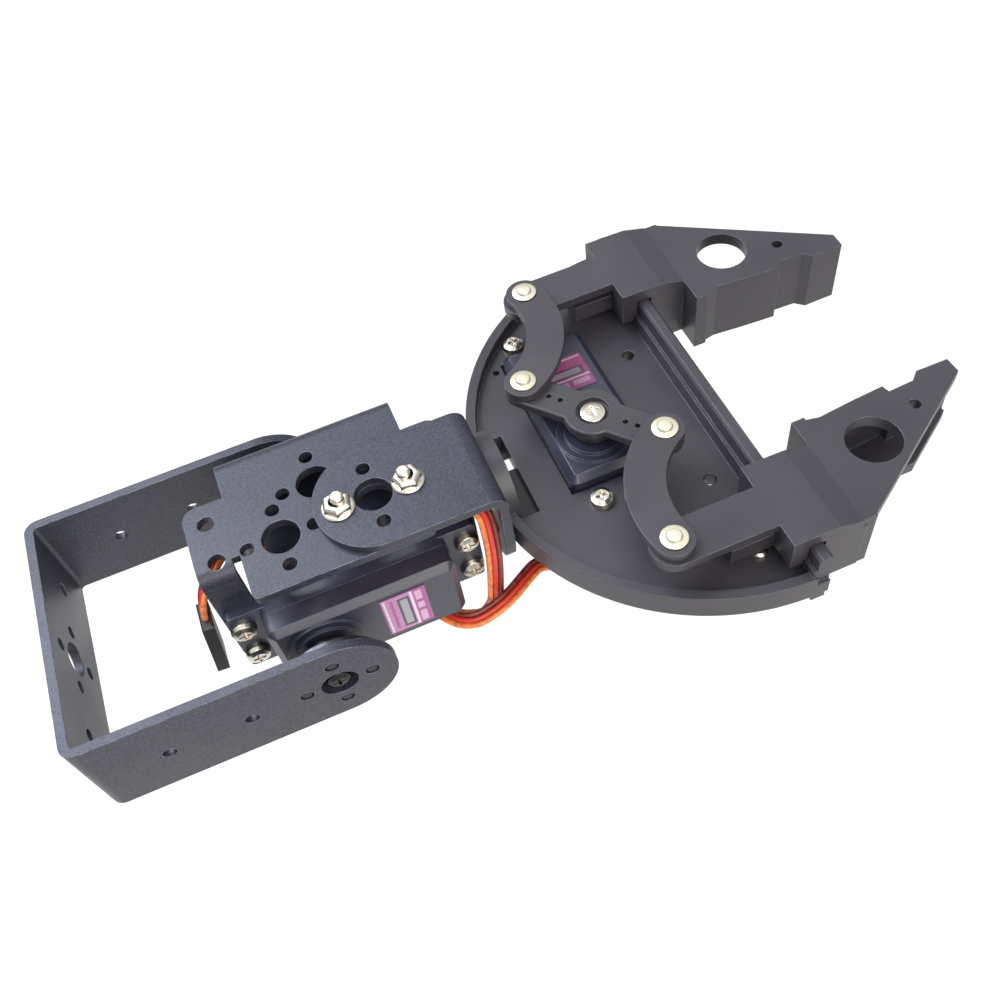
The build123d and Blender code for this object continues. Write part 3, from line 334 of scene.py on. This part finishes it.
def newMaterial(label, finish):
    # A coated, moulded or plated surface: colour drift, mottle, flecks, worn edges with a painted
    # highlight, grain
    s = {**plainFinish, **finish}
    material = bpy.data.materials.new(label)
    material.use_nodes = True
    tree = material.node_tree
    shader = tree.nodes["Principled BSDF"]
    shader.inputs["Metallic"].default_value = s["metallic"]
    shader.inputs["Coat Weight"].default_value = s["coat"]
    shader.inputs["Coat Roughness"].default_value = s["coatRoughness"]
    edge = placeGroup(tree, edgeTree, Radius=s["edgeRadius"], Gain=s["edgeGain"])
    grain = placeGroup(tree, grainTree, Scale=s["grain"], Fleck_Size=s["fleckSize"])
    colour = blendColours(tree, grain.outputs["Broad"], s["colour"], s["drift"])
    if "mottle" in s:
        share = ramp(tree, grain.outputs["Height"], *s["mottleSpan"])
        colour = blendColours(tree, share, colour, s["mottle"])
    if "fleck" in s:
        share = maths(tree, "MULTIPLY", grain.outputs["Flecks"], s["fleckShare"])
        colour = blendColours(tree, share, colour, s["fleck"])
    # Edge colour: partly wear, partly a painted highlight along the rounded edges
    share = maths(tree, "MULTIPLY", edge.outputs["Mask"], s["edgeShare"])
    colour = blendColours(tree, share, colour, s["edge"])
    smoothest, roughest = s["roughness"]
    rough = addNode(tree, "MapRange", {
        "Value": grain.outputs["Broad"], "To Min": smoothest, "To Max": roughest}).outputs[0]
    bump = addNode(tree, "Bump", {
        "Height": grain.outputs["Height"], "Normal": edge.outputs["Normal"],
        "Strength": s["depth"], "Distance": s["distance"]})
    tree.links.new(colour, shader.inputs["Base Color"])
    tree.links.new(rough, shader.inputs["Roughness"])
    tree.links.new(bump.outputs[0], shader.inputs["Normal"])
    return material, shader, colour, rough


# Each finish's edge colour is partly wear and partly a painted highlight; the bluish edges on the dark
# plastics are a painted sky reflection
finishes = {
    "bracket_metal": {
        "colour": linear(50, 52, 65), "drift": linear(61, 63, 77), "fleck": linear(112, 118, 140),
        "fleckShare": 0.4, "mottle": linear(28, 29, 38), "edge": linear(168, 172, 190), "edgeShare": 0.6,
        "metallic": 0.2, "roughness": (0.34, 0.5), "grain": 2900.0, "fleckSize": 4200.0, "depth": 0.45,
        "distance": 0.00006},
    "disc_metal": {
        "colour": linear(70, 70, 78), "drift": linear(84, 84, 92), "edge": linear(206, 206, 212),
        "edgeShare": 0.8, "metallic": 0.9, "roughness": (0.16, 0.28), "grain": 2600.0, "depth": 0.1},
    # screw_dark: painted shade for the screws deep in the disc's holes
    "screw_dark": {
        "colour": linear(36, 35, 37), "drift": linear(52, 50, 50), "edge": linear(140, 137, 134),
        "edgeShare": 0.6, "metallic": 0.8, "roughness": (0.26, 0.4), "grain": 2400.0, "depth": 0.2,
        "edgeRadius": 0.0002},
    "screw_steel": {
        "colour": linear(214, 209, 198), "drift": linear(188, 183, 172), "edge": linear(240, 238, 232),
        "metallic": 1.0, "roughness": (0.2, 0.34), "grain": 2400.0, "depth": 0.12, "edgeRadius": 0.0002},
    "bearing_steel": {
        "colour": linear(186, 187, 190), "drift": linear(160, 161, 166), "edge": linear(226, 226, 226),
        "metallic": 1.0, "roughness": (0.18, 0.3), "grain": 2600.0, "depth": 0.08, "edgeRadius": 0.0002},
    "servo_plastic": {
        "colour": linear(38, 40, 54), "drift": linear(48, 51, 67), "edge": linear(138, 144, 172),
        "edgeShare": 0.45, "roughness": (0.32, 0.46), "grain": 5200.0, "depth": 0.3, "coat": 0.15},
    "motor_can": {
        "colour": linear(168, 168, 170), "drift": linear(146, 146, 150), "edge": linear(214, 214, 214),
        "metallic": 1.0, "roughness": (0.25, 0.38), "grain": 2000.0, "depth": 0.1},
    "gear_brass": {
        "colour": linear(196, 164, 96), "drift": linear(174, 142, 80), "edge": linear(226, 204, 150),
        "metallic": 1.0, "roughness": (0.25, 0.4), "grain": 2600.0, "depth": 0.1, "edgeRadius": 0.0001},
    "sensor_body": {
        "colour": linear(150, 150, 150), "drift": linear(130, 130, 132), "edge": linear(200, 200, 200),
        "metallic": 1.0, "roughness": (0.3, 0.42), "grain": 2600.0, "depth": 0.1},
    "board_laminate": {
        "colour": linear(22, 92, 50), "drift": linear(28, 106, 58), "edge": linear(170, 178, 120),
        "roughness": (0.25, 0.35), "grain": 1800.0, "depth": 0.15, "coat": 0.5},
    "gripper_plastic": {
        "colour": linear(48, 46, 53), "drift": linear(58, 55, 62), "edge": linear(136, 136, 156),
        "edgeShare": 0.45, "roughness": (0.34, 0.5), "grain": 3600.0, "depth": 0.35},
    "link_plastic": {
        "colour": linear(52, 50, 56), "drift": linear(61, 58, 64), "edge": linear(130, 129, 142),
        "edgeShare": 0.4, "roughness": (0.34, 0.48), "grain": 3600.0, "depth": 0.3},
    "rivet_brass": {
        "colour": linear(226, 221, 202), "drift": linear(204, 197, 174), "edge": linear(244, 241, 228),
        "metallic": 0.75, "roughness": (0.3, 0.44), "grain": 2200.0, "depth": 0.15, "edgeRadius": 0.0002},
    "plug_plastic": {
        "colour": linear(24, 24, 26), "drift": linear(31, 31, 34), "edge": linear(74, 74, 80),
        "edgeShare": 0.35, "roughness": (0.38, 0.5), "grain": 4200.0, "depth": 0.3},
}
materials = {name: newMaterial(name, s) for name, s in finishes.items()}
print("finishes made:", len(materials))

# Turned rings on the servo disc, about the wrist's axis
ringSettings = {
    "axis": (0.0526, 0.0, 0.0), "step": 2600.0, "detail": 2.0, "span": (0.5, 0.75),
    "bright": linear(168, 166, 162), "share": 0.35, "roughen": 0.12}
discMaterial, shader, colour, rough = materials["disc_metal"]
tree = discMaterial.node_tree
place = addNode(tree, "TexCoord").outputs["Object"]
fromAxis = addNode(tree, "VectorMath", {0: place, 1: ringSettings["axis"]}, operation="SUBTRACT").outputs[0]
flatPlace = addNode(tree, "VectorMath", {0: fromAxis, 1: (1, 0, 1)}, operation="MULTIPLY").outputs[0]
reach = addNode(tree, "VectorMath", {0: flatPlace}, operation="LENGTH").outputs["Value"]
rings = addNode(
    tree, "TexNoise", {"W": reach, "Scale": ringSettings["step"], "Detail": ringSettings["detail"]},
    noise_dimensions="1D").outputs[0]
ringShare = maths(tree, "MULTIPLY", ramp(tree, rings, *ringSettings["span"]), ringSettings["share"])
roughened = maths(tree, "ADD", rough, maths(tree, "MULTIPLY", rings, ringSettings["roughen"]))
tree.links.new(blendColours(tree, ringShare, colour, ringSettings["bright"]), shader.inputs["Base Color"])
tree.links.new(roughened, shader.inputs["Roughness"])

# Printed label film: bars, a plain grey window and bands, no words, with painted shade over the gripper
# servo's label. Each box runs from its lower to its upper share of the label's width, then of its height
labelSettings = {
    "wristCorner": (0.06545, -0.0069), "gripperCorner": (0.1149, 0.01085), "size": (0.0103, 0.0144),
    "parting": 0.1, "soft": 0.012, "coat": 0.4, "coatRoughness": 0.2,
    "smudgeScale": 2200.0, "smudgeDetail": 4.0, "smudgeSpan": (0.3, 1.0), "roughSpan": (-0.6, 1.9),
    "ground": linear(184, 130, 176), "magenta": linear(176, 62, 126), "border": linear(84, 42, 88),
    "band": linear(150, 72, 134), "bar": linear(202, 154, 192), "line": linear(220, 200, 222),
    # shade and shadeShare: painted shade that darkens the gripper servo's label
    "window": linear(146, 148, 158), "frame": linear(50, 38, 60), "shade": linear(84, 18, 58),
    "shadeShare": 0.5,
    "boxes": [
        ("line", (0.07, 0.11, 0.05, 0.95)),
        ("band", (0.2, 0.26, 0.1, 0.9)),
        ("band", (0.7, 0.96, 0.02, 0.98)),
        ("bar", (0.74, 0.88, 0.08, 0.36)),
        ("bar", (0.74, 0.88, 0.44, 0.6)),
        ("bar", (0.74, 0.88, 0.68, 0.92)),
        ("line", (0.64, 0.69, 0.04, 0.96)),
        ("frame", (0.36, 0.62, 0.1, 0.88)),
        ("window", (0.41, 0.57, 0.15, 0.83))],
    "inside": (0.035, 0.965, 0.03, 0.97),
}


def labelPrint(s):
    material = bpy.data.materials.new("label_film")
    material.use_nodes = True
    tree = material.node_tree
    shader = tree.nodes["Principled BSDF"]
    shader.inputs["Coat Weight"].default_value = s["coat"]
    shader.inputs["Coat Roughness"].default_value = s["coatRoughness"]
    place = addNode(tree, "TexCoord").outputs["Object"]
    x, y, z = addNode(tree, "SeparateXYZ", {0: place}).outputs
    onGripper = maths(tree, "GREATER_THAN", x, s["parting"])

    def pick(a, b):
        # a on the wrist servo's label, b on the gripper servo's
        away = maths(tree, "MULTIPLY", b, onGripper)
        here = maths(tree, "MULTIPLY", a, maths(tree, "SUBTRACT", 1.0, onGripper))
        return maths(tree, "ADD", away, here)

    wide, tall = s["size"]
    along = pick(
        maths(tree, "SUBTRACT", x, s["wristCorner"][0]),
        maths(tree, "SUBTRACT", s["gripperCorner"][1] + wide, y))
    height = pick(
        maths(tree, "SUBTRACT", z, s["wristCorner"][1]),
        maths(tree, "SUBTRACT", s["gripperCorner"][0] + tall, x))
    along = maths(tree, "DIVIDE", along, wide)
    height = maths(tree, "DIVIDE", height, tall)

    def between(value, low, high):
        rise = ramp(tree, value, low - s["soft"], low + s["soft"])
        fall = ramp(tree, value, high + s["soft"], high - s["soft"])
        return maths(tree, "MULTIPLY", rise, fall)

    def box(left, right, bottom, top):
        return maths(tree, "MULTIPLY", between(along, left, right), between(height, bottom, top))

    smudge = addNode(tree, "TexNoise", {
        "Vector": place, "Scale": s["smudgeScale"], "Detail": s["smudgeDetail"]}).outputs[0]
    ground = blendColours(tree, onGripper, s["ground"], s["magenta"])
    colour = blendColours(tree, ramp(tree, smudge, *s["smudgeSpan"]), ground, s["band"])
    for ink, edges in s["boxes"]:
        colour = blendColours(tree, box(*edges), colour, s[ink])
    # Painted shade over the gripper servo's label
    shade = maths(tree, "MULTIPLY", onGripper, s["shadeShare"])
    colour = blendColours(tree, shade, colour, s["shade"])
    colour = blendColours(tree, box(*s["inside"]), s["border"], colour)
    tree.links.new(colour, shader.inputs["Base Color"])
    tree.links.new(ramp(tree, smudge, *s["roughSpan"]), shader.inputs["Roughness"])
    return material


labelMaterial = labelPrint(labelSettings)

# Three insulated wires, coloured by the wire they belong to
coverSettings = {
    "wires": [linear(104, 26, 24), linear(212, 46, 30), linear(242, 140, 72)],
    "dulled": linear(150, 70, 50), "coat": 0.15, "coatRoughness": 0.3, "roughSpan": (-0.4, 1.6),
    "dullScale": 700.0, "dullDetail": 4.0, "dullSpan": (0.4, 0.9),
    "kinkScale": 320.0, "kinkDetail": 2.0, "kinkDepth": 0.25, "kinkSize": 0.0002,
}


def wireMaterial(s):
    material = bpy.data.materials.new("lead_cover")
    material.use_nodes = True
    tree = material.node_tree
    shader = tree.nodes["Principled BSDF"]
    shader.inputs["Coat Weight"].default_value = s["coat"]
    shader.inputs["Coat Roughness"].default_value = s["coatRoughness"]
    wire = addNode(tree, "Attribute", attribute_name="wire").outputs["Fac"]
    along = addNode(tree, "Attribute", attribute_name="along").outputs["Fac"]
    first, second, third = s["wires"]
    colour = blendColours(tree, maths(tree, "GREATER_THAN", wire, 0.5), first, second)
    colour = blendColours(tree, maths(tree, "GREATER_THAN", wire, 1.5), colour, third)
    place = addNode(tree, "TexCoord").outputs["Object"]
    dull = addNode(tree, "TexNoise", {
        "Vector": place, "Scale": s["dullScale"], "Detail": s["dullDetail"]}).outputs[0]
    colour = blendColours(tree, ramp(tree, dull, *s["dullSpan"]), colour, s["dulled"])
    kinks = addNode(
        tree, "TexNoise", {"W": along, "Scale": s["kinkScale"], "Detail": s["kinkDetail"]},
        noise_dimensions="1D").outputs[0]
    bump = addNode(tree, "Bump", {"Height": kinks, "Strength": s["kinkDepth"], "Distance": s["kinkSize"]})
    tree.links.new(colour, shader.inputs["Base Color"])
    tree.links.new(ramp(tree, dull, *s["roughSpan"]), shader.inputs["Roughness"])
    tree.links.new(bump.outputs[0], shader.inputs["Normal"])
    return material


leadRibbon.data.materials.append(wireMaterial(coverSettings))
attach(leadRibbon, "hand")
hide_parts("gripper_lead")
print("lead covered")

for item in frame["record"]["subparts"]:
    thing = nodes[item["node"]]
    thing.data.materials.clear()
    if item["material_slot"] == "label_film":
        thing.data.materials.append(labelMaterial)
    elif item["material_slot"] in materials:
        thing.data.materials.append(materials[item["material_slot"]][0])
    else:
        thing.data.materials.append(materials["plug_plastic"][0])
print("materials placed")

smoothAngle = math.radians(32)  # faces that meet at less than this look like one

# Rivets: a thin round flange with a raised crown. Each ring is a radius and a height above the foot
rivetSettings = {
    "sides": 40,
    "jaw": [(0.0024, 0.0), (0.0026, 0.0007), (0.0015, 0.0007), (0.0015, 0.0029), (0.0019, 0.0029),
        (0.0019, 0.0051)],
    "link": [(0.0037, 0.0), (0.0038, 0.0007), (0.0015, 0.0007), (0.0015, 0.0050)],
    "head": [(0.0026, 0.0), (0.0028, 0.00012), (0.0028, 0.0003), (0.0026, 0.00042), (0.0017, 0.00046),
        (0.00165, 0.0008), (0.0014, 0.00112), (0.0009, 0.00122), (0.0003, 0.00124)],
}


def stackPiece(name, sides, centre, rings):
    # A closed solid of rings, each a radius and a height above the centre
    x, y, z = centre
    deselectAll()
    bpy.ops.mesh.primitive_circle_add(
        vertices=sides, radius=rings[0][0], fill_type="NGON", location=(x, y, z + rings[0][1]))
    piece = bpy.context.object
    piece.name = name
    bpy.ops.object.mode_set(mode="EDIT")
    for (radius, height), (nextRadius, nextHeight) in zip(rings, rings[1:]):
        bpy.ops.mesh.extrude_region_move(TRANSFORM_OT_translate={"value": (0, 0, nextHeight - height)})
        grow = nextRadius / radius
        bpy.ops.transform.resize(value=(grow, grow, 1), center_override=(x, y, z + nextHeight))
    bpy.ops.mesh.select_all(action="SELECT")
    bpy.ops.mesh.normals_make_consistent(inside=False)
    bpy.ops.object.mode_set(mode="OBJECT")
    bpy.ops.object.transform_apply(location=True, rotation=True, scale=True)
    bpy.ops.object.shade_smooth_by_angle(angle=smoothAngle)
    return piece


def finishPiece(piece, body, slotName, *replaced):
    # Its material, the body it moves with and the CAD nodes it stands for
    piece.data.materials.clear()
    piece.data.materials.append(materials[slotName][0])
    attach(piece, body)
    if replaced:
        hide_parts(*replaced)


bodyOf = {}
for bodyName, body in frame["bodies"].items():
    for child in body.children:
        bodyOf[child.name] = bodyName
for side in ("left", "right"):
    for kind in ("jaw", "link"):
        node = side + "_" + kind + "_rivet"
        low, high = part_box(node)
        middle = ((low[0] + high[0]) / 2, (low[1] + high[1]) / 2, low[2])
        foot = rivetSettings[kind]
        rings = foot + [(radius, foot[-1][1] + height) for radius, height in rivetSettings["head"]]
        rivet = stackPiece(node + "_turned", rivetSettings["sides"], middle, rings)
        finishPiece(rivet, bodyOf[node], "rivet_brass", node)
print("rivets made")

# Flange nuts on the plate: a round foot, a hexagon that narrows, and a bore for the screw
nutSettings = {
    "footSides": 40,
    "foot": [(0.0034, 0.0), (0.0035, 0.0001), (0.0035, 0.0004), (0.0031, 0.0007), (0.0028, 0.00072)],
    "hexagon": [(0.00312, 0.0006), (0.00316, 0.0017), (0.00285, 0.0021), (0.0024, 0.0024)],
    "bore": 0.00152, "boreLength": 0.008, "boreSides": 32,
    "soft": 0.00012, "softSteps": 3, "turns": (12, 40),
}
low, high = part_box("bracket_nuts")
nutInset = (high[1] - low[1]) / 2
nutParts = []
for x in (low[0] + nutInset, high[0] - nutInset):
    centre = (x, (low[1] + high[1]) / 2, low[2])
    foot = stackPiece("nutFoot", nutSettings["footSides"], centre, nutSettings["foot"])
    top = stackPiece("nutTop", 6, centre, nutSettings["hexagon"])
    nutParts.append((foot, top, centre))
for (foot, top, centre), angle in zip(nutParts, nutSettings["turns"]):
    deselectAll()
    makeActive(top)
    bpy.ops.object.mode_set(mode="EDIT")
    bpy.ops.mesh.select_all(action="SELECT")
    bpy.ops.transform.rotate(value=math.radians(angle), orient_axis="Z", center_override=centre)
    bpy.ops.object.mode_set(mode="OBJECT")
    applyModifier(top, "soften", "BEVEL", width=nutSettings["soft"], segments=nutSettings["softSteps"])
    applyModifier(top, "join", "BOOLEAN", operation="UNION", object=foot)
    bpy.ops.mesh.primitive_cylinder_add(
        vertices=nutSettings["boreSides"], radius=nutSettings["bore"], depth=nutSettings["boreLength"],
        location=centre)
    drill = bpy.context.object
    drill.select_set(False)
    makeActive(top)
    applyModifier(top, "cut", "BOOLEAN", operation="DIFFERENCE", object=drill)
    bpy.data.objects.remove(drill)
    bpy.data.objects.remove(foot)
deselectAll()
for foot, top, centre in nutParts:
    top.select_set(True)
bpy.context.view_layer.objects.active = nutParts[0][1]
bpy.ops.object.join()
plateNuts = bpy.context.object
plateNuts.name = "plateNuts"
bpy.ops.object.shade_smooth_by_angle(angle=smoothAngle)
finishPiece(plateNuts, bodyOf["bracket_nuts"], "screw_steel", "bracket_nuts")
print("plate nuts made")

# Dark webs under the slot behind the lug, in the darkest plastic: painted shade where the floor would show
# through. They leave one short gap for the light
webSettings = {
    "x": (0.0998, 0.1050), "y": [(-0.0146, 0.0026), (0.0064, 0.0104)], "z": (0.0014, 0.0029),
    "soft": 0.0004, "softSteps": 3}
for number, ySpan in enumerate(webSettings["y"]):
    deselectAll()
    spans = (webSettings["x"], ySpan, webSettings["z"])
    bpy.ops.mesh.primitive_cube_add(
        size=1, location=[(a + b) / 2 for a, b in spans], scale=[b - a for a, b in spans])
    lugShadeWeb = bpy.context.object
    lugShadeWeb.name = "lugWeb_" + str(number)
    bpy.ops.object.transform_apply(location=True, rotation=True, scale=True)
    applyModifier(lugShadeWeb, "soften", "BEVEL", width=webSettings["soft"], segments=webSettings["softSteps"])
    finishPiece(lugShadeWeb, bodyOf["gripper_base"], "plug_plastic")
print("lug webs made")

# The disc's screws get a dark finish: painted shade for the recessed holes they sit in
for name in ("disc_screws", "wrist_horn_screw"):
    nodes[name].data.materials.clear()
    nodes[name].data.materials.append(materials["screw_dark"][0])

# Pale floor and soft studio light. The floor's lift lights nothing: only the camera and mirrors see it
stageSettings = {
    "centre": (0.1, 0, 0), "floorHeight": -0.158, "floorSize": 8.0, "floorColour": linear(246, 244, 240),
    "floorRoughness": 0.9, "lift": 0.55,
    "skyLevel": 0.5, "skyShown": 1.0, "mirrorLevels": (0.3, 1.15), "mirrorSpan": (0.05, 0.75),
    "lamps": [
        {
            "name": "keyLamp", "place": (-0.25, 0.35, 0.7), "size": 0.6, "power": 9.0,
            "colour": (0.86, 0.91, 1.0)},
        {
            "name": "frontLamp", "place": (0.2, -0.6, 0.55), "size": 0.7, "power": 6.5,
            "colour": (1.0, 0.95, 0.88)}],
}
deselectAll()
floorPlace = (stageSettings["centre"][0], stageSettings["centre"][1], stageSettings["floorHeight"])
bpy.ops.mesh.primitive_plane_add(size=stageSettings["floorSize"], location=floorPlace)
floor = bpy.context.object
floor.name = "floor"
floorMaterial = bpy.data.materials.new("floorPaper")
floorMaterial.use_nodes = True
tree = floorMaterial.node_tree
paper = tree.nodes["Principled BSDF"]
paper.inputs["Base Color"].default_value = stageSettings["floorColour"]
paper.inputs["Roughness"].default_value = stageSettings["floorRoughness"]
glow = addNode(tree, "Emission", {"Color": (1, 1, 1, 1), "Strength": 1.0})
rays = addNode(tree, "LightPath").outputs
seen = maths(tree, "ADD", rays["Is Camera Ray"], rays["Is Glossy Ray"], True)
lift = maths(tree, "MULTIPLY", seen, stageSettings["lift"])
both = addNode(tree, "MixShader", {0: lift, 1: paper.outputs[0], 2: glow.outputs[0]})
tree.links.new(both.outputs[0], tree.nodes["Material Output"].inputs["Surface"])
floor.data.materials.append(floorMaterial)

world = bpy.data.worlds.new("studio")
world.use_nodes = True
scene.world = world
tree = world.node_tree
sky = tree.nodes["Background"]
sky.inputs["Color"].default_value = (1, 1, 1, 1)
rays = addNode(tree, "LightPath").outputs
skyPlace = addNode(tree, "TexCoord").outputs["Generated"]
heading = addNode(tree, "SeparateXYZ", {0: skyPlace}).outputs["Z"]
lowest, highest = stageSettings["mirrorSpan"]
dimmest, brightest = stageSettings["mirrorLevels"]
mirrored = addNode(tree, "MapRange", {
    "Value": heading, "From Min": lowest, "From Max": highest,
    "To Min": dimmest, "To Max": brightest}).outputs[0]
level = addNode(tree, "Mix", {
    0: rays["Is Glossy Ray"], 2: stageSettings["skyLevel"], 3: mirrored}).outputs[0]
level = addNode(tree, "Mix", {
    0: rays["Is Camera Ray"], 2: level, 3: stageSettings["skyShown"]}).outputs[0]
tree.links.new(level, sky.inputs["Strength"])

for s in stageSettings["lamps"]:
    lampData = bpy.data.lights.new(s["name"], "AREA")
    lampData.size = s["size"]
    lampData.energy = s["power"]
    lampData.color = s["colour"]
    lamp = bpy.data.objects.new(s["name"], lampData)
    scene.collection.objects.link(lamp)
    lamp.location = s["place"]
    aim = Vector(stageSettings["centre"]) - Vector(s["place"])
    lamp.rotation_mode = "QUATERNION"
    lamp.rotation_quaternion = aim.to_track_quat("-Z", "Y")

scene.view_settings.view_transform = "Standard"
print("stage and lamps set")
